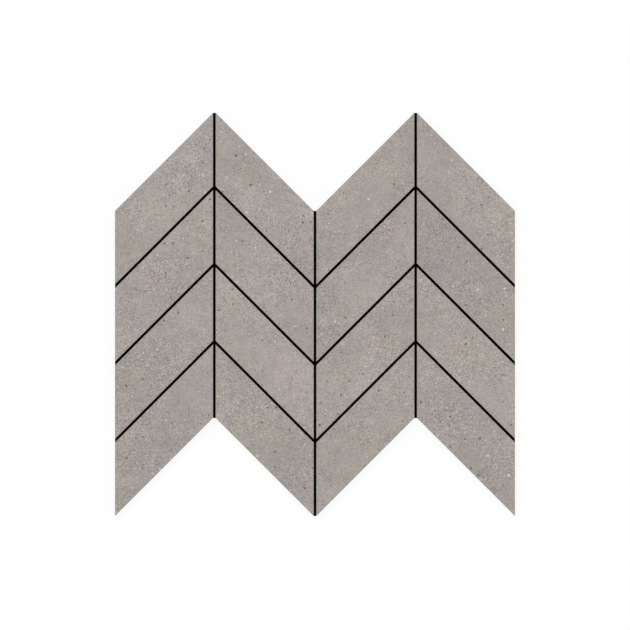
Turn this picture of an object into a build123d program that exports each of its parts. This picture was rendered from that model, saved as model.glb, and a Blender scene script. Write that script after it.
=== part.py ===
from build123d import *
import math
import os

# A chevron mosaic sheet: mitred parallelogram chips of concrete-look porcelain, bonded with open
# joints between them to one thin backing sheet that carries them all.
# The sheet lies flat, face up. X runs across the columns and Y the way the chevrons point.
# The origin is on the resting plane, under the middle of the sheet's outline.

# Driving dimensions, in millimetres and degrees
COLUMNS = 4
ROWS = 4
CHIP_WIDTH = 73.5  # across a column, from one upright cut to the other
CHIP_UPRIGHT = 55.1  # length of an upright cut
CHIP_THICKNESS = 9.0
MITRE_ANGLE = 45.0  # how steeply the long edges climb or fall across a column
JOINT_WIDTH = 2.0  # open joint, measured square to the chip edges beside it
ARRIS = 0.4  # bevel ground along the upper edges of a chip
BACKING_THICKNESS = 0.8  # mesh and its coat of glue

# Sizes that follow from them
CHIP_RISE = CHIP_WIDTH * math.tan(math.radians(MITRE_ANGLE))
ROW_JOINT = JOINT_WIDTH / math.cos(math.radians(MITRE_ANGLE))  # a sloping joint, measured along Y
COLUMN_PITCH = CHIP_WIDTH + JOINT_WIDTH
ROW_PITCH = CHIP_UPRIGHT + ROW_JOINT
COLUMN_LENGTH = ROWS * ROW_PITCH - ROW_JOINT  # along an upright edge of a column
SHEET_WIDTH = COLUMNS * COLUMN_PITCH - JOINT_WIDTH
SHEET_LENGTH = COLUMN_LENGTH + CHIP_RISE


def climbs(column):
    """Columns take turns: the first climbs to the right, the next falls."""
    return column % 2 == 0


def column_left(column):
    """X of a column's left edge."""
    return column * COLUMN_PITCH - SHEET_WIDTH / 2


def row_foot(row):
    """Y of the lowest corner of the chips in a row. Rows are counted from the top."""
    return (ROWS - 1 - row) * ROW_PITCH - SHEET_LENGTH / 2


def climbing_chip():
    """A chip whose long edges climb to the right, with its lowest corner at the origin."""
    outline = Polyline(
        (0, 0),
        (CHIP_WIDTH, CHIP_RISE),
        (CHIP_WIDTH, CHIP_RISE + CHIP_UPRIGHT),
        (0, CHIP_UPRIGHT),
        close=True,
    )
    body = extrude(make_face(outline), CHIP_THICKNESS)
    upper_face = body.faces().sort_by(Axis.Z)[-1]
    return chamfer(upper_face.edges(), ARRIS)


def falling_chip():
    """The other hand of chip, cut as the mirror image in the same space."""
    return mirror(climbing_chip(), about=Plane.YZ.offset(CHIP_WIDTH / 2))


def zigzag(foot):
    """Points of a chevron edge from left to right, level across each upright joint."""
    points = []
    for column in range(COLUMNS):
        left = column_left(column)
        start, end = (0, CHIP_RISE) if climbs(column) else (CHIP_RISE, 0)
        points.append((left, foot + start))
        points.append((left + CHIP_WIDTH, foot + end))
    return points


def backing_sheet():
    """The thin sheet under the chips, flush with their outline and closed under the joints."""
    lower_edge = zigzag(-SHEET_LENGTH / 2)
    upper_edge = zigzag(COLUMN_LENGTH - SHEET_LENGTH / 2)
    outline = Polyline(*lower_edge, *reversed(upper_edge), close=True)
    return extrude(make_face(outline), BACKING_THICKNESS)


def write(shape, node):
    export_step(shape, os.path.join("parts", node + ".step"))


os.makedirs("parts", exist_ok=True)
write(backing_sheet(), "backing_sheet")
chips = {True: climbing_chip(), False: falling_chip()}
for row in range(ROWS):
    for column in range(COLUMNS):
        seat = Pos(column_left(column), row_foot(row), BACKING_THICKNESS)
        write(seat * chips[climbs(column)], f"chevron_chip_row{row + 1}_column{column + 1}")
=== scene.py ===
import math
import random

import bpy
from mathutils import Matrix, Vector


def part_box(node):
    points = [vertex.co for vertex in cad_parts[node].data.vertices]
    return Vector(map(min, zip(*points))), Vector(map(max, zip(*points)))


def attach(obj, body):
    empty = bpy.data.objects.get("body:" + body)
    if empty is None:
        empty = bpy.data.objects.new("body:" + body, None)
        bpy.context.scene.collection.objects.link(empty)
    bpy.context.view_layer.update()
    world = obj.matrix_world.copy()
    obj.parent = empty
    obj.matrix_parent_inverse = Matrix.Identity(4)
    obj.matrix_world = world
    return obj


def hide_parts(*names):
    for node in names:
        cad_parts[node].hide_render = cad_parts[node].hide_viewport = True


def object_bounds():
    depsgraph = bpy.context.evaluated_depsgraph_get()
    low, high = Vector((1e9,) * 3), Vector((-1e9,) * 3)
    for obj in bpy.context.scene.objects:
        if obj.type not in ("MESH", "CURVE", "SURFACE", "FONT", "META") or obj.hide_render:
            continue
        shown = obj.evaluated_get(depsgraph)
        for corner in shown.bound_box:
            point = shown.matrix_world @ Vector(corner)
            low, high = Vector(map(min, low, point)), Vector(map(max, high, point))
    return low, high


# A chevron mosaic sheet of concrete-look porcelain, face up on a white floor and seen from straight above.
# Each chip is a piece of its own, folded from a fine grid by Geometry Nodes and pitted by the same pores
# that its material darkens. The backing is one piece: a film of black glue, with a mesh of glass yarn
# standing out of its underside.

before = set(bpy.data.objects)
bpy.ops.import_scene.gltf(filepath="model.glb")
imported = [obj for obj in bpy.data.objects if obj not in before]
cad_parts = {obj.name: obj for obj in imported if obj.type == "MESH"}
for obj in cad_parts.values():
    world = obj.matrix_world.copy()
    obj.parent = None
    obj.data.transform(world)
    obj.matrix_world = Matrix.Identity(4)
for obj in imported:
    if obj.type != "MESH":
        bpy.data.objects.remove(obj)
cad_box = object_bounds()

# The sheet, in metres and radians
MM = 0.001
ROWS = 4
COLUMNS = 4
MITRE_ANGLE = math.radians(45)
ARRIS = 0.4 * MM  # bevel ground along the upper edges of a chip
BACKING = "backing_sheet"

# A chip's mesh
FACE_STEP = 0.45 * MM  # spacing of the points across a face
RINGS = 2  # rings of points round the face: the foot of the arris, then the foot of the cut side
SHARP_ANGLE = math.radians(32)  # edges that turn by more than this are shaded sharp
WELD = 0.001 * MM  # points that lie closer than this become one
BAKE_MAP = "OFBake"  # the texture map that each chip is laid out on
HIDDEN_MAP_SHARE = 0.8  # of a corner of that map, which the chip's hidden underside gets
SLAB_SEED = 11
SLAB_SIDE = 4.0  # chips are cut from all over a slab this wide

# Noise runs from 0 to 1. A layer of it, below, is the size of its features, the number of finer layers laid
# over those, and the strength of each of these beside the one before, where that isn't a half.
NOISE_SPAN = (0.2, 0.8)  # noise with several layers seldom leaves this
NOISE_CORE = (0.3, 0.7)  # most of it lies in this
NOISE_MIDDLE = (0.5, 0.5, 0.5)

# A chip's relief
ARRIS_STRAY = {"size": 2.5 * MM, "detail": 2.0}
ARRIS_STRAY_SHARE = 0.35  # how far the grinding strays, as a share of the arris
SWELL = {"size": 14 * MM, "detail": 1.0}  # slow rise and fall of the pressed face
SWELL_DEPTH = 0.06 * MM
TOOTH = {"size": 1.8 * MM, "detail": 1.0}  # the finest roughness that the points can carry
TOOTH_DEPTH = 0.04 * MM
PORE_DEPTH = 0.16 * MM

# Cement of the slab, with how far each layer moves the tone as a share of it
CLOUDS = {"size": 130 * MM, "detail": 4.0, "roughness": 0.71}
CLOUD_TONE = 0.205
MOTTLE = {"size": 9 * MM, "detail": 3.0, "roughness": 0.65}
MOTTLE_TONE = 0.11
GRAIN = {"size": 2 * MM, "detail": 4.0, "roughness": 0.7}
GRAIN_TONE = 0.07
SAND = {"size": 0.86 * MM, "detail": 3.0, "roughness": 0.65}
SAND_TONE = 0.6
PATCHES = {"size": 33 * MM, "detail": 1.0}
PATCH_STRENGTH = (0.55, 1.45)  # of grain and sand in the weakest patches and the strongest
HUES = {"size": 55 * MM, "detail": 4.0, "roughness": 0.6}
MAUVE_FROM = (0.47, 0.60)  # where in the range of its noise the mauve starts and is full
DRIFT = {"size": 9 * MM, "detail": 2.0}
DRIFT_REACH = (0.030, 0.020, 0.042)  # how far red, green and blue each drift besides

# Marks in the slab: the cells that they are strewn in, the share of cells with a mark, and the radius and
# strength of the least mark and the greatest
PORES = {"cell": 5.5 * MM, "share": 0.2, "radius": (0.35 * MM, 1.3 * MM), "strength": (0.4, 0.85)}
PINHOLES = {"cell": 2.4 * MM, "share": 0.53, "radius": (0.2 * MM, 0.5 * MM), "strength": (0.4, 0.95)}
PALE_GRAINS = {"cell": 3.6 * MM, "share": 0.27, "radius": (0.3 * MM, 0.8 * MM), "strength": (0.15, 0.75)}
PALE_STONES = {"cell": 15 * MM, "share": 0.22, "radius": (0.5 * MM, 1.25 * MM), "strength": (0.3, 1.0)}
MARK_CORE = 0.35  # share of a mark's radius that is as strong as its middle
CROWDS = {"size": 38 * MM, "detail": 1.0}
CROWDING = (0.25, 1.75)  # how many marks the barest part has and the fullest, against the usual
FRAY = {"size": 0.9 * MM, "detail": 2.0}
FRAY_REACH = 1.3 * MM  # how far the ragged edges of marks are pulled about

# The body of a chip where the saw cut it
SAW_LINES = {"size": 0.5 * MM, "detail": 2.0}
SAW_LINE_RATIO = 0.08  # of a line's thickness to its length
SAW_LINE_TONE = 0.05
BODY_SPECKS = {"size": 0.6 * MM, "detail": 2.0, "roughness": 0.7}
BODY_SPECK_TONE = 0.07

# The porcelain's finish
PORCELAIN_SPECULAR = 0.4
PORCELAIN_ROUGHNESS = 0.68
GRAIN_ROUGHNESS = 0.05
PALE_GRAIN_GLOSS = 0.08
PORE_ROUGHNESS = 0.1
PORCELAIN_RELIEF = 0.06 * MM  # depth of a pinhole or pore in the bump
GRAIN_RELIEF = 0.25  # share of that depth
SAW_LINE_RELIEF = 0.3  # share of that depth
BUMP_STRENGTH = 0.5

# The backing's mesh
FILM_SHARE = 0.55  # of the backing's thickness; the mesh stands out of the film by the rest
YARN_PITCH = 6 * MM
YARN_STEPS = 3  # points along a yarn from one crossing to the next
YARN_SIDES = 5
YARN_THICKNESS = 0.28 * MM
YARN_MARGIN = 1.5 * MM  # yarns end this far inside the film's sloping edges
WEFT_WIDTH = 1.3 * MM
WARP_WIDTH = 0.6 * MM  # of one yarn of a twisted pair
WARP_SWAY = 0.45 * MM  # how far the two yarns of a pair swing apart
WARP_LIFT = 0.11 * MM  # how far they pass over and under a weft

# The backing's finishes
STREAKS = {"size": 9 * MM, "detail": 3.0, "roughness": 0.6}  # streaks in the glue
STREAK_DEPTH = 0.06 * MM
STREAK_SHADES = (0.7, 1.3)
GLUE_ROUGHNESS = (0.6, 0.8)
GLUE_SPECULAR = 0.0
THREADS = {"size": 0.35 * MM, "detail": 2.0}  # threads of a yarn
THREAD_DEPTH = 0.1 * MM
THREAD_SHADES = (0.4, 1.2)
YARN_ROUGHNESS = (0.5, 0.7)
YARN_SPECULAR = 0.3

# Colours, linear
OLIVE_CEMENT = (0.3525, 0.3178, 0.2895, 1)
MAUVE_CEMENT = (0.3530, 0.3146, 0.3005, 1)
PORE_DARK = (0.075, 0.066, 0.060, 1)
STONE_PALE = (0.70, 0.67, 0.60, 1)
PORCELAIN_BODY = (0.43, 0.395, 0.36)
GLUE_BLACK = (0.003, 0.003, 0.0032)
YARN_BLACK = (0.034, 0.034, 0.035)

# The picture: a square frame that looks straight down
FRAME_PIXELS = 630
PIXEL = 0.75 * MM  # what a pixel covers
CENTRE_ABOVE = 0.55  # pixels from the middle of the frame up to the sheet's centre
CAMERA_HEIGHT = 1.2

# Light: on a face turned up, the sky's share and the lamps' shares add up to one
SKY = 0.5
LAMPS = (  # share, height above the horizon and direction in degrees, width of the lamp in degrees
    (0.34, 68, 125, 50),
    (0.16, 62, -50, 70),
)
FLOOR_SIDE = 8.0
FLOOR_DROP = 0.02 * MM
FLOOR_WHITE = (0.8, 0.8, 0.8, 1)
FLOOR_SHADE = 0.12  # how much of the floor's white is light that falls on it, and so shows a shadow


class Value:
    """What a node puts out. Arithmetic on it adds Math nodes to its tree."""

    def __init__(self, nodes, socket):
        self.nodes = nodes
        self.socket = socket

    def __add__(self, other):
        return self.nodes.math("ADD", self, other)

    def __sub__(self, other):
        return self.nodes.math("SUBTRACT", self, other)

    def __rsub__(self, other):
        return self.nodes.math("SUBTRACT", other, self)

    def __mul__(self, other):
        return self.nodes.math("MULTIPLY", self, other)

    def __truediv__(self, other):
        return self.nodes.math("DIVIDE", self, other)

    def __lt__(self, other):
        return self.nodes.math("LESS_THAN", self, other)

    def __gt__(self, other):
        return self.nodes.math("GREATER_THAN", self, other)


class Nodes:
    """Adds nodes to a tree. An input is linked where it is given a Value, and set where it is given a
    number, a colour or the like."""

    def __init__(self, tree):
        self.tree = tree
        tree.nodes.clear()

    def make(self, kind, inputs=None, **settings):
        node = self.tree.nodes.new(kind)
        for name, setting in settings.items():
            setattr(node, name, setting)
        for name, fed in (inputs or {}).items():
            self.feed(named(node.inputs, name), fed)
        return node

    def feed(self, socket, fed):
        if isinstance(fed, Value):
            self.tree.links.new(fed.socket, socket)
        else:
            socket.default_value = fed

    def add(self, kind, inputs=None, output=None, **settings):
        """One output of a new node, the first unless it is named."""
        node = self.make(kind, inputs, **settings)
        return Value(self, named(node.outputs, output) if output else node.outputs[0])

    def in_order(self, kind, *fed, **settings):
        """The first output of a new node whose inputs are fed from the first on."""
        node = self.make(kind, **settings)
        for socket, value in zip(node.inputs, fed):
            self.feed(socket, value)
        return Value(self, node.outputs[0])

    def math(self, operation, *fed):
        return self.in_order("ShaderNodeMath", *fed, operation=operation)

    def vectors(self, operation, *fed):
        return self.in_order("ShaderNodeVectorMath", *fed, operation=operation)

    def least(self, a, b):
        return self.math("MINIMUM", a, b)

    def most(self, a, b):
        return self.math("MAXIMUM", a, b)

    def fit(self, value, low, high, to_low=0.0, to_high=1.0, curve="LINEAR"):
        """A value moved from one range to another, and kept in it."""
        ends = {"Value": value, "From Min": low, "From Max": high, "To Min": to_low, "To Max": to_high}
        return self.add("ShaderNodeMapRange", ends, interpolation_type=curve)

    def vector(self, x, y, z):
        return self.add("ShaderNodeCombineXYZ", {"X": x, "Y": y, "Z": z})

    def parts(self, vector):
        node = self.make("ShaderNodeSeparateXYZ", {"Vector": vector})
        return [Value(self, output) for output in node.outputs]

    def noise(self, place, size, detail, roughness=0.5, output="Fac"):
        """Noise from 0 to 1, with features of a size in metres."""
        shape = {"Vector": place, "Scale": 1 / size, "Detail": detail, "Roughness": roughness}
        return self.add("ShaderNodeTexNoise", shape, output)

    def sway(self, place, layer):
        """A layer of noise from about -1 to 1."""
        return self.fit(self.noise(place, **layer), *NOISE_SPAN, -1.0, 1.0)

    def between(self, noise, low, high):
        """Noise stretched until most of it fills a range, and kept in that."""
        return self.fit(noise, *NOISE_CORE, low, high)

    def cells(self, place, size):
        """How far the middle of the nearest cell is, in metres, and three numbers of the cell's own."""
        shape = {"Vector": place, "Scale": 1 / size}
        node = self.make("ShaderNodeTexVoronoi", shape, voronoi_dimensions="2D")
        own = self.parts(Value(self, node.outputs["Color"]))
        return Value(self, node.outputs["Distance"]) * size, own

    def blend(self, share, colour, other):
        mixed = {"Factor_Float": share, "A_Color": colour, "B_Color": other}
        return self.add("ShaderNodeMix", mixed, "Result_Color", data_type="RGBA")

    def scaled(self, colour, by):
        return self.add("ShaderNodeVectorMath", {"Vector": colour, "Scale": by}, operation="SCALE")


def named(sockets, name):
    """The socket of that identifier or, if none has it, the first of that name."""
    return next((s for s in sockets if s.identifier == name), None) or sockets[name]


# What the slab is made of: these add the same nodes to a chip's mesh and to its material

def frayed(nodes, place):
    """A place on the slab, moved about a little so that round marks come out ragged."""
    drift = nodes.noise(place, **FRAY, output="Color")
    return nodes.vectors("MULTIPLY_ADD", drift, (FRAY_REACH, FRAY_REACH, FRAY_REACH), place)


def crowding(nodes, place):
    """How closely the marks lie in this part of the slab. 1 is usual."""
    return nodes.between(nodes.noise(place, **CROWDS), *CROWDING)


def strewn(nodes, place, crowd, cell, share, radius, strength):
    """How strong a mark is at a place, and 0 outside the marks. They are strewn one at most to a cell. Few
    are large, and those are the strongest."""
    away, (chance, size, _) = nodes.cells(place, cell)
    rank = size * size
    edge = nodes.fit(rank, 0.0, 1.0, *radius)
    full = nodes.fit(rank, 0.0, 1.0, *strength)
    inside = nodes.fit(away, edge * MARK_CORE, edge, full, 0.0, "SMOOTHSTEP")
    return inside * (chance < crowd * share)


# Geometry Nodes

def new_tree(name, inputs):
    """Nodes of a new tree with these inputs, given as name and kind of socket, and what the inputs give."""
    tree = bpy.data.node_groups.new(name, "GeometryNodeTree")
    tree.is_modifier = True
    nodes = Nodes(tree)
    tree.interface.new_socket("Geometry", in_out="INPUT", socket_type="NodeSocketGeometry")
    for label, kind in inputs.items():
        tree.interface.new_socket(label, in_out="INPUT", socket_type="NodeSocket" + kind)
    tree.interface.new_socket("Geometry", in_out="OUTPUT", socket_type="NodeSocketGeometry")
    given = nodes.make("NodeGroupInput")
    return nodes, {output.name: Value(nodes, output) for output in given.outputs if output.name}


def end_tree(nodes, geometry, material, faces=True):
    """The end of every tree: instances made real, a material on all faces or on some, and the output."""
    real = nodes.add("GeometryNodeRealizeInstances", {"Geometry": geometry})
    dressed = {"Geometry": real, "Selection": faces, "Material": material}
    finished = nodes.add("GeometryNodeSetMaterial", dressed)
    nodes.make("NodeGroupOutput", {"Geometry": finished})
    return nodes.tree


def position(nodes):
    return nodes.add("GeometryNodeInputPosition")


def store(nodes, geometry, name, value, kind="FLOAT", domain="POINT"):
    fed = {"Geometry": geometry, "Name": name, "Value": value}
    return nodes.add("GeometryNodeStoreNamedAttribute", fed, data_type=kind, domain=domain)


def moved(nodes, geometry, to):
    return nodes.add("GeometryNodeSetPosition", {"Geometry": geometry, "Position": to})


def welded(nodes, geometry):
    return nodes.add("GeometryNodeMergeByDistance", {"Geometry": geometry, "Distance": WELD})


def joined(nodes, pieces):
    node = nodes.make("GeometryNodeJoinGeometry")
    for piece in pieces:
        nodes.feed(node.inputs[0], piece)
    return Value(nodes, node.outputs[0])


def shaded(nodes, geometry, smooth, where=True, domain="FACE"):
    """Geometry shaded smooth or not, all over or where that is true."""
    fed = {"Geometry": geometry, "Selection": where, "Shade Smooth": smooth}
    return nodes.add("GeometryNodeSetShadeSmooth", fed, domain=domain)


def grow(name, tree, settings, start=None):
    """A piece with the plain mesh that a tree makes with these settings."""
    piece = bpy.data.objects.new(name, start or bpy.data.meshes.new(name))
    bpy.context.scene.collection.objects.link(piece)
    modifier = piece.modifiers.new(tree.name, "NODES")
    modifier.node_group = tree
    for item in tree.interface.items_tree:
        if item.in_out == "INPUT" and item.name in settings:
            modifier[item.identifier] = settings[item.name]
    depsgraph = bpy.context.evaluated_depsgraph_get()
    drawn = piece.evaluated_get(depsgraph)
    mesh = bpy.data.meshes.new_from_object(drawn, preserve_all_data_layers=True, depsgraph=depsgraph)
    piece.modifiers.clear()
    piece.data = mesh
    mesh.name = name
    return piece


# A chip

def sunk(nodes, place):
    """How far the face lies below its plane at a place on the slab: its swell, its tooth and its pores."""
    swell = nodes.noise(place, **SWELL) * SWELL_DEPTH
    tooth = nodes.noise(place, **TOOTH) * TOOTH_DEPTH
    pore = strewn(nodes, frayed(nodes, place), crowding(nodes, place), **PORES)
    return swell + tooth + pore * PORE_DEPTH


def underside(nodes, shape, map_place):
    """The face that closes the rim of a shape, turned down, with its place on the texture map."""
    faces_at_edge = nodes.add("GeometryNodeInputMeshEdgeNeighbors")
    rim = {"Mesh": shape, "Selection": faces_at_edge < 2.0}
    loop = nodes.add("GeometryNodeMeshToCurve", rim)
    under = nodes.add("GeometryNodeFillCurve", {"Curve": loop}, mode="NGONS")
    under = nodes.add("GeometryNodeFlipFaces", {"Mesh": under})
    under = store(nodes, under, BAKE_MAP, map_place, "FLOAT2", "CORNER")
    return store(nodes, under, "ground", 1.0)


def mitred_chip_tree():
    """A chip with one fine grid over its face, whose outer rings fold down to the arris and the cut sides.
    Corner is the lower end of its left side, and Cut From is where on the slab that corner lay."""
    nodes, given = new_tree("mitred chip", {
        "Width": "Float",
        "Upright": "Float",
        "Rise": "Float",
        "Thickness": "Float",
        "Arris": "Float",
        "Corner": "Vector",
        "Cut From": "Vector",
        "Step": "Float",
        "Material": "Material",
    })
    width, upright, rise = given["Width"], given["Upright"], given["Rise"]
    thickness, arris, step = given["Thickness"], given["Arris"], given["Step"]
    slope = rise / width
    steepness = nodes.math("SQRT", slope * slope + 1.0)

    # The grid, flat and with its points one apart
    across_steps = nodes.math("ROUND", width / step)
    along_steps = nodes.math("ROUND", upright / step)
    grid = nodes.add("GeometryNodeMeshGrid", {
        "Size X": across_steps + 2.0 * RINGS,
        "Size Y": along_steps + 2.0 * RINGS,
        "Vertices X": across_steps + (2.0 * RINGS + 1.0),
        "Vertices Y": along_steps + (2.0 * RINGS + 1.0),
    })
    grid_x, grid_y, _ = nodes.parts(position(nodes))
    half_x, half_y = across_steps * 0.5, along_steps * 0.5
    out_x = nodes.most(nodes.math("ABSOLUTE", grid_x) - half_x, 0.0)
    out_y = nodes.most(nodes.math("ABSOLUTE", grid_y) - half_y, 0.0)
    ring = nodes.most(out_x, out_y)
    off_face = nodes.least(ring, 1.0)
    on_face = 1.0 - off_face
    across = nodes.fit(grid_x, half_x * -1.0, half_x)
    along = nodes.fit(grid_y, half_y * -1.0, half_y)

    def folded(rings, bevel):
        """How far down the arris and then the cut side this many rings reach."""
        return bevel * nodes.least(rings, 1.0) + (thickness - bevel) * nodes.most(rings - 1.0, 0.0)

    # The chip laid out as a net is its texture map, with the underside in a corner that the net leaves free
    net_width, net_height = width + thickness * 2.0, upright + thickness * 2.0
    net_x = (across - 0.5) * width + nodes.math("SIGN", grid_x) * folded(out_x, arris)
    net_y = (along - 0.5) * upright + nodes.math("SIGN", grid_y) * folded(out_y, arris)
    net = nodes.vector(net_x / net_width + 0.5, net_y / net_height + 0.5, 0.0)
    under_x, under_y, _ = nodes.parts(position(nodes))
    corner_u = under_x / width * (thickness / net_width) * HIDDEN_MAP_SHARE
    corner_v = (under_y - under_x * slope) / upright * (thickness / net_height) * HIDDEN_MAP_SHARE

    # The face goes to its place, sunk where the slab is worn, and the rings go down its sides
    flat = nodes.vector(across * width, along * upright + across * rise, 0.0)
    face_place = nodes.vectors("ADD", flat, given["Cut From"])
    bevel = arris * (nodes.sway(face_place, ARRIS_STRAY) * ARRIS_STRAY_SHARE + 1.0)
    inset = bevel * on_face
    x = nodes.fit(across, 0.0, 1.0, inset, width - inset)
    y = nodes.fit(along, 0.0, 1.0, inset * steepness, upright - inset * steepness) + x * slope
    z = thickness - folded(ring, bevel) - sunk(nodes, face_place) * on_face
    shape = store(nodes, grid, BAKE_MAP, net, "FLOAT2", "CORNER")
    shape = store(nodes, shape, "ground", off_face)
    shape = welded(nodes, moved(nodes, shape, nodes.vector(x, y, z)))
    under = underside(nodes, shape, nodes.vector(corner_u, corner_v, 0.0))
    chip = welded(nodes, joined(nodes, (under, shape)))

    # Where it lay on the slab, its shading, and its place in the sheet
    place = nodes.vectors("ADD", position(nodes), given["Cut From"])
    chip = store(nodes, chip, "slab_place", place, "FLOAT_VECTOR")
    turns_sharply = nodes.add("GeometryNodeInputMeshEdgeAngle") > SHARP_ANGLE
    chip = shaded(nodes, chip, True)
    chip = shaded(nodes, chip, False, turns_sharply, "EDGE")
    chip = moved(nodes, chip, nodes.vectors("ADD", position(nodes), given["Corner"]))
    return end_tree(nodes, chip, given["Material"])


# The backing

def glue_film(nodes, outline, top, share, glue):
    """The backing's own outline, thinned from below to this share of its thickness."""
    x, y, z = nodes.parts(position(nodes))
    film = moved(nodes, welded(nodes, outline), nodes.vector(x, y, top - (top - z) * share))
    film = shaded(nodes, film, False)
    film = nodes.add("GeometryNodeSetMaterial", {"Geometry": film, "Material": glue})
    return store(nodes, film, "yarn", False, "BOOLEAN", "FACE")


def points_in_line(nodes, ends, spacing, place):
    """Points a spacing apart from one end to the other. place makes a vector of a distance."""
    start, end = ends
    return nodes.add("GeometryNodeMeshLine", {
        "Count": nodes.math("FLOOR", (end - start) / spacing),
        "Start Location": place(start + spacing * 0.5),
        "Offset": place(spacing),
    })


def rows(nodes, along, across, pitch, place):
    """Straight rows of points, a yarn's step apart along each row and a pitch from row to row. along and
    across are two ends each to lie between, and place makes a vector of a distance along and one across."""
    row = points_in_line(nodes, along, pitch / YARN_STEPS, lambda distance: place(distance, 0.0))
    starts = points_in_line(nodes, across, pitch, lambda distance: place(0.0, distance))
    laid = nodes.add("GeometryNodeInstanceOnPoints", {"Points": starts, "Instance": row})
    return nodes.add("GeometryNodeRealizeInstances", {"Geometry": laid})


def under_film(nodes, points, film, below):
    """The points that the film lies over, less those near its sloping edges. below is a height under it."""
    x, y, _ = nodes.parts(position(nodes))

    def covered(aside):
        """1 where the film lies over a point moved this far aside along X."""
        start = nodes.vector(x + aside, y, below)
        ray = {"Target Geometry": film, "Source Position": start, "Ray Direction": (0.0, 0.0, 1.0)}
        return nodes.add("GeometryNodeRaycast", ray, "Is Hit")

    kept = covered(-YARN_MARGIN) * covered(0.0) * covered(YARN_MARGIN)
    bare = {"Geometry": points, "Selection": kept < 1.0}
    return nodes.add("GeometryNodeDeleteGeometry", bare, domain="POINT")


def yarns(nodes, points, to, width):
    """Flat yarns along rows of points that are moved to a place."""
    line = moved(nodes, nodes.add("GeometryNodeMeshToCurve", {"Mesh": points}), to)
    one_wide = nodes.add("GeometryNodeCurvePrimitiveCircle", {"Resolution": YARN_SIDES, "Radius": 0.5})
    flat = {"Geometry": one_wide, "Scale": (width, YARN_THICKNESS, 1.0)}
    section = nodes.add("GeometryNodeTransform", flat)
    drawn = {"Curve": line, "Profile Curve": section, "Fill Caps": True}
    solid = shaded(nodes, nodes.add("GeometryNodeCurveToMesh", drawn), True)
    return store(nodes, solid, "yarn", True, "BOOLEAN", "FACE")


def mesh_backing_tree():
    """A film of glue in the backing's own outline, with the yarns of a mesh standing out below it: flat wefts
    along X, and pairs of warps along Y that cross between the wefts and pass above and below them."""
    nodes, given = new_tree("mesh backing", {
        "Low": "Vector",
        "High": "Vector",
        "Film Share": "Float",
        "Pitch": "Float",
        "Glue": "Material",
        "Yarn": "Material",
    })
    pitch = given["Pitch"]
    low_x, low_y, low_z = nodes.parts(given["Low"])
    high_x, high_y, high_z = nodes.parts(given["High"])
    film = glue_film(nodes, given["Geometry"], high_z, given["Film Share"], given["Glue"])
    wide, deep = (low_x, high_x), (low_y, high_y)
    weft = rows(nodes, wide, deep, pitch, lambda along, across: nodes.vector(along, across, 0.0))
    warp = rows(nodes, deep, wide, pitch, lambda along, across: nodes.vector(across, along, 0.0))
    weft = under_film(nodes, weft, film, low_z - pitch)
    warp = under_film(nodes, warp, film, low_z - pitch)

    x, y, _ = nodes.parts(position(nodes))
    middle_z = low_z + (WARP_LIFT + YARN_THICKNESS / 2)
    swing = nodes.math("COSINE", (y - low_y - pitch * 0.5) / pitch * math.pi)
    pieces = []
    for hand in (-1.0, 1.0):
        to = nodes.vector(x + swing * (hand * WARP_SWAY), y, middle_z + swing * (hand * WARP_LIFT))
        pieces.append(yarns(nodes, warp, to, WARP_WIDTH))
    pieces.append(yarns(nodes, weft, nodes.vector(x, y, middle_z), WEFT_WIDTH))
    pieces.append(film)
    yarn = nodes.add("GeometryNodeInputNamedAttribute", {"Name": "yarn"}, data_type="BOOLEAN")
    return end_tree(nodes, joined(nodes, pieces), given["Yarn"], faces=yarn)


# Materials

def new_material(name):
    material = bpy.data.materials.new(name)
    material.use_nodes = True
    return material, Nodes(material.node_tree)


def attribute(nodes, name, output):
    return nodes.add("ShaderNodeAttribute", output=output, attribute_name=name)


def surface(nodes, shader):
    nodes.make("ShaderNodeOutputMaterial", {"Surface": shader})


def coat(nodes, colour, roughness, specular, height, relief):
    """The surface of a material, with a bump whose height of 1 stands for this much relief in metres."""
    bump = nodes.add("ShaderNodeBump", {"Strength": BUMP_STRENGTH, "Distance": relief, "Height": height})
    surface(nodes, nodes.add("ShaderNodeBsdfPrincipled", {
        "Base Color": colour,
        "Roughness": roughness,
        "Normal": bump,
        "Specular IOR Level": specular,
    }))


def cement(nodes, place, grain):
    """Colour of the cement: slow clouds of tone and hue, a mottle, and grain and sand whose strength changes
    from patch to patch."""
    clouds = nodes.sway(place, CLOUDS)
    mottle = nodes.sway(place, MOTTLE)
    sand = nodes.sway(place, SAND)
    patch = nodes.between(nodes.noise(place, **PATCHES), *PATCH_STRENGTH)
    speckle = (grain * GRAIN_TONE + sand * SAND_TONE) * patch
    tone = clouds * CLOUD_TONE + mottle * MOTTLE_TONE + speckle + 1.0
    mauve = nodes.fit(nodes.noise(place, **HUES), *MAUVE_FROM, curve="SMOOTHSTEP")
    hue = nodes.blend(mauve, OLIVE_CEMENT, MAUVE_CEMENT)
    drift = nodes.vectors("SUBTRACT", nodes.noise(place, **DRIFT, output="Color"), NOISE_MIDDLE)
    return nodes.scaled(nodes.vectors("MULTIPLY_ADD", drift, DRIFT_REACH, hue), tone)


def saw_lines(nodes, place):
    """Lines along the cut, from about -1 to 1."""
    x, y, z = nodes.parts(place)
    return nodes.sway(nodes.vector(x * SAW_LINE_RATIO, y * SAW_LINE_RATIO, z), SAW_LINES)


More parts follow.
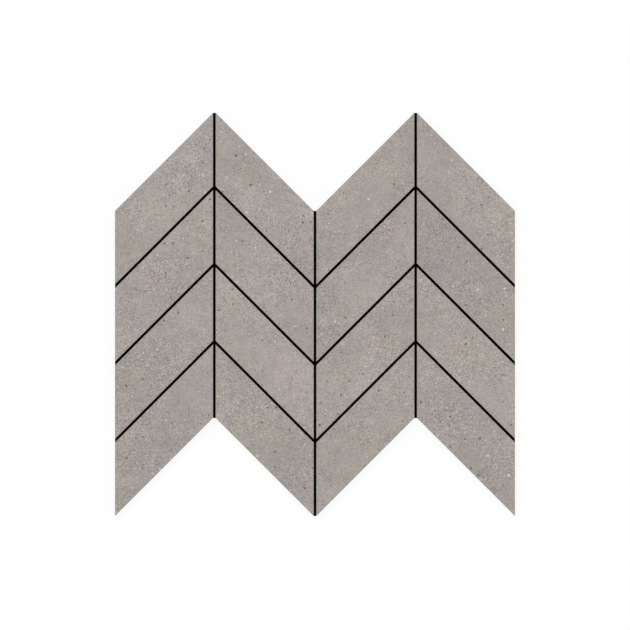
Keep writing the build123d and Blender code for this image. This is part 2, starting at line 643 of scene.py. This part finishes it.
def concrete_look_porcelain():
    """A cement-grey face with sand, pores and pale stones in it, and the plain body where a chip was cut."""
    material, nodes = new_material("concrete_look_porcelain")
    place = attribute(nodes, "slab_place", "Vector")
    ground = attribute(nodes, "ground", "Fac")

    # The face, with the marks in its cement
    ragged = frayed(nodes, place)
    crowd = crowding(nodes, place)
    pale, stone, pinhole, pore = (
        strewn(nodes, ragged, crowd, **marks) for marks in (PALE_GRAINS, PALE_STONES, PINHOLES, PORES)
    )
    grain = nodes.sway(place, GRAIN)
    face = cement(nodes, place, grain)
    face = nodes.blend(nodes.most(pale, stone), face, STONE_PALE)
    face = nodes.blend(nodes.most(pinhole, pore), face, PORE_DARK)

    # The body, as the saw left it: even, with a fine speckle and lines along the cut
    lines = saw_lines(nodes, place)
    specks = nodes.sway(place, BODY_SPECKS)
    body = nodes.scaled(PORCELAIN_BODY, specks * BODY_SPECK_TONE + lines * SAW_LINE_TONE + 1.0)

    colour = nodes.blend(ground, face, body)
    rougher = grain * GRAIN_ROUGHNESS - pale * PALE_GRAIN_GLOSS + pore * PORE_ROUGHNESS
    roughness = rougher + PORCELAIN_ROUGHNESS
    height = grain * GRAIN_RELIEF + lines * ground * SAW_LINE_RELIEF - pinhole - pore
    coat(nodes, colour, roughness, PORCELAIN_SPECULAR, height, PORCELAIN_RELIEF)
    return material


def black_glue():
    """The glue's film: matt black, in the streaks that it was spread in."""
    material, nodes = new_material("black_glue")
    streaks = nodes.noise(nodes.add("ShaderNodeTexCoord", output="Object"), **STREAKS)
    colour = nodes.scaled(GLUE_BLACK, nodes.between(streaks, *STREAK_SHADES))
    roughness = nodes.between(streaks, *GLUE_ROUGHNESS)
    coat(nodes, colour, roughness, GLUE_SPECULAR, streaks, STREAK_DEPTH)
    return material


def glue_soaked_yarn():
    """Glass yarn that the glue has soaked: its threads show as charcoal lines with a slight gloss."""
    material, nodes = new_material("glue_soaked_yarn")
    threads = nodes.noise(nodes.add("ShaderNodeTexCoord", output="Object"), **THREADS)
    colour = nodes.scaled(YARN_BLACK, nodes.between(threads, *THREAD_SHADES))
    roughness = nodes.between(threads, *YARN_ROUGHNESS)
    coat(nodes, colour, roughness, YARN_SPECULAR, threads, THREAD_DEPTH)
    return material


def seen_rays(nodes):
    """1 for what is seen straight on, in a gloss or through glass, and 0 for light that falls on things."""
    path = nodes.make("ShaderNodeLightPath")
    camera, gloss, glass = (
        Value(nodes, path.outputs[name]) for name in ("Is Camera Ray", "Is Glossy Ray", "Is Transmission Ray")
    )
    return nodes.most(camera, nodes.most(gloss, glass))


def white_floor():
    """White to look at, with the shadow that falls on it, and a plain white diffuser for the light."""
    material, nodes = new_material("white_floor")
    glow = nodes.add("ShaderNodeEmission", {"Strength": 1.0 - FLOOR_SHADE})
    shadowed = nodes.add("ShaderNodeBsdfDiffuse", {"Color": (FLOOR_SHADE, FLOOR_SHADE, FLOOR_SHADE, 1)})
    looks = nodes.in_order("ShaderNodeAddShader", glow, shadowed)
    bounces = nodes.add("ShaderNodeBsdfDiffuse", {"Color": FLOOR_WHITE})
    surface(nodes, nodes.in_order("ShaderNodeMixShader", seen_rays(nodes), bounces, looks))
    return material


# Pieces

def finish_piece(piece, node):
    """The piece moves with the sheet, and the part of the model that it stands in for is hidden."""
    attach(piece, "root")
    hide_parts(node)


def lay_chips():
    """One piece for each chip. Columns take turns to climb and to fall."""
    tree = mitred_chip_tree()
    porcelain = concrete_look_porcelain()
    slab = random.Random(SLAB_SEED)
    for row in range(1, ROWS + 1):
        for column in range(1, COLUMNS + 1):
            node = f"chevron_chip_row{row}_column{column}"
            low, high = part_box(node)
            size = high - low
            rise = size.x * math.tan(MITRE_ANGLE)
            climbs = column % 2 == 1
            piece = grow(f"porcelain_chip_row{row}_column{column}", tree, {
                "Width": size.x,
                "Upright": size.y - rise,
                "Rise": rise if climbs else -rise,
                "Thickness": size.z,
                "Arris": ARRIS,
                "Corner": (low.x, low.y if climbs else low.y + rise, low.z),
                "Cut From": (slab.uniform(0, SLAB_SIDE), slab.uniform(0, SLAB_SIDE), 0.0),
                "Step": FACE_STEP,
                "Material": porcelain,
            })
            finish_piece(piece, node)


def lay_backing():
    """One piece, which starts from a copy of the backing's own shape."""
    low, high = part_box(BACKING)
    piece = grow("black_mesh_backing", mesh_backing_tree(), {
        "Low": low,
        "High": high,
        "Film Share": FILM_SHARE,
        "Pitch": YARN_PITCH,
        "Glue": black_glue(),
        "Yarn": glue_soaked_yarn(),
    }, start=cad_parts[BACKING].data.copy())
    finish_piece(piece, BACKING)


# The studio

def lay_floor():
    half = FLOOR_SIDE / 2
    mesh = bpy.data.meshes.new("studio_floor")
    corners = [(-half, -half), (half, -half), (half, half), (-half, half)]
    mesh.from_pydata([(x, y, -FLOOR_DROP) for x, y in corners], [], [(0, 1, 2, 3)])
    mesh.materials.append(white_floor())
    floor = bpy.data.objects.new("studio_floor", mesh)
    bpy.context.scene.collection.objects.link(floor)


def hang_lamps():
    """Wide suns. One of strength pi lights a white face that is turned to it to plain white."""
    for number, (share, height, direction, spread) in enumerate(LAMPS, start=1):
        lamp = bpy.data.lights.new(f"studio_lamp_{number}", "SUN")
        lamp.angle = math.radians(spread)
        lamp.energy = share * math.pi / math.sin(math.radians(height))
        hung = bpy.data.objects.new(lamp.name, lamp)
        hung.rotation_euler = (math.radians(90 - height), 0, math.radians(direction + 90))
        bpy.context.scene.collection.objects.link(hung)


def light_sky():
    """An even white sky. It is plain white to look at, and its light is the sky's share."""
    world = bpy.data.worlds.new("studio_sky")
    world.use_nodes = True
    nodes = Nodes(world.node_tree)
    strength = nodes.fit(seen_rays(nodes), 0.0, 1.0, SKY, 1.0)
    sky = nodes.add("ShaderNodeBackground", {"Color": (1, 1, 1, 1), "Strength": strength})
    nodes.make("ShaderNodeOutputWorld", {"Surface": sky})
    bpy.context.scene.world = world


def set_camera():
    data = bpy.data.cameras.new("overhead_camera")
    data.type = "ORTHO"
    data.ortho_scale = FRAME_PIXELS * PIXEL
    camera = bpy.data.objects.new("overhead_camera", data)
    low, high = cad_box
    middle = (low + high) / 2
    camera.location = (middle.x, middle.y - CENTRE_ABOVE * PIXEL, CAMERA_HEIGHT)
    bpy.context.scene.collection.objects.link(camera)
    bpy.context.scene.camera = camera


set_camera()
lay_chips()
lay_backing()
lay_floor()
hang_lamps()
light_sky()
bpy.context.scene.view_settings.view_transform = "Standard"
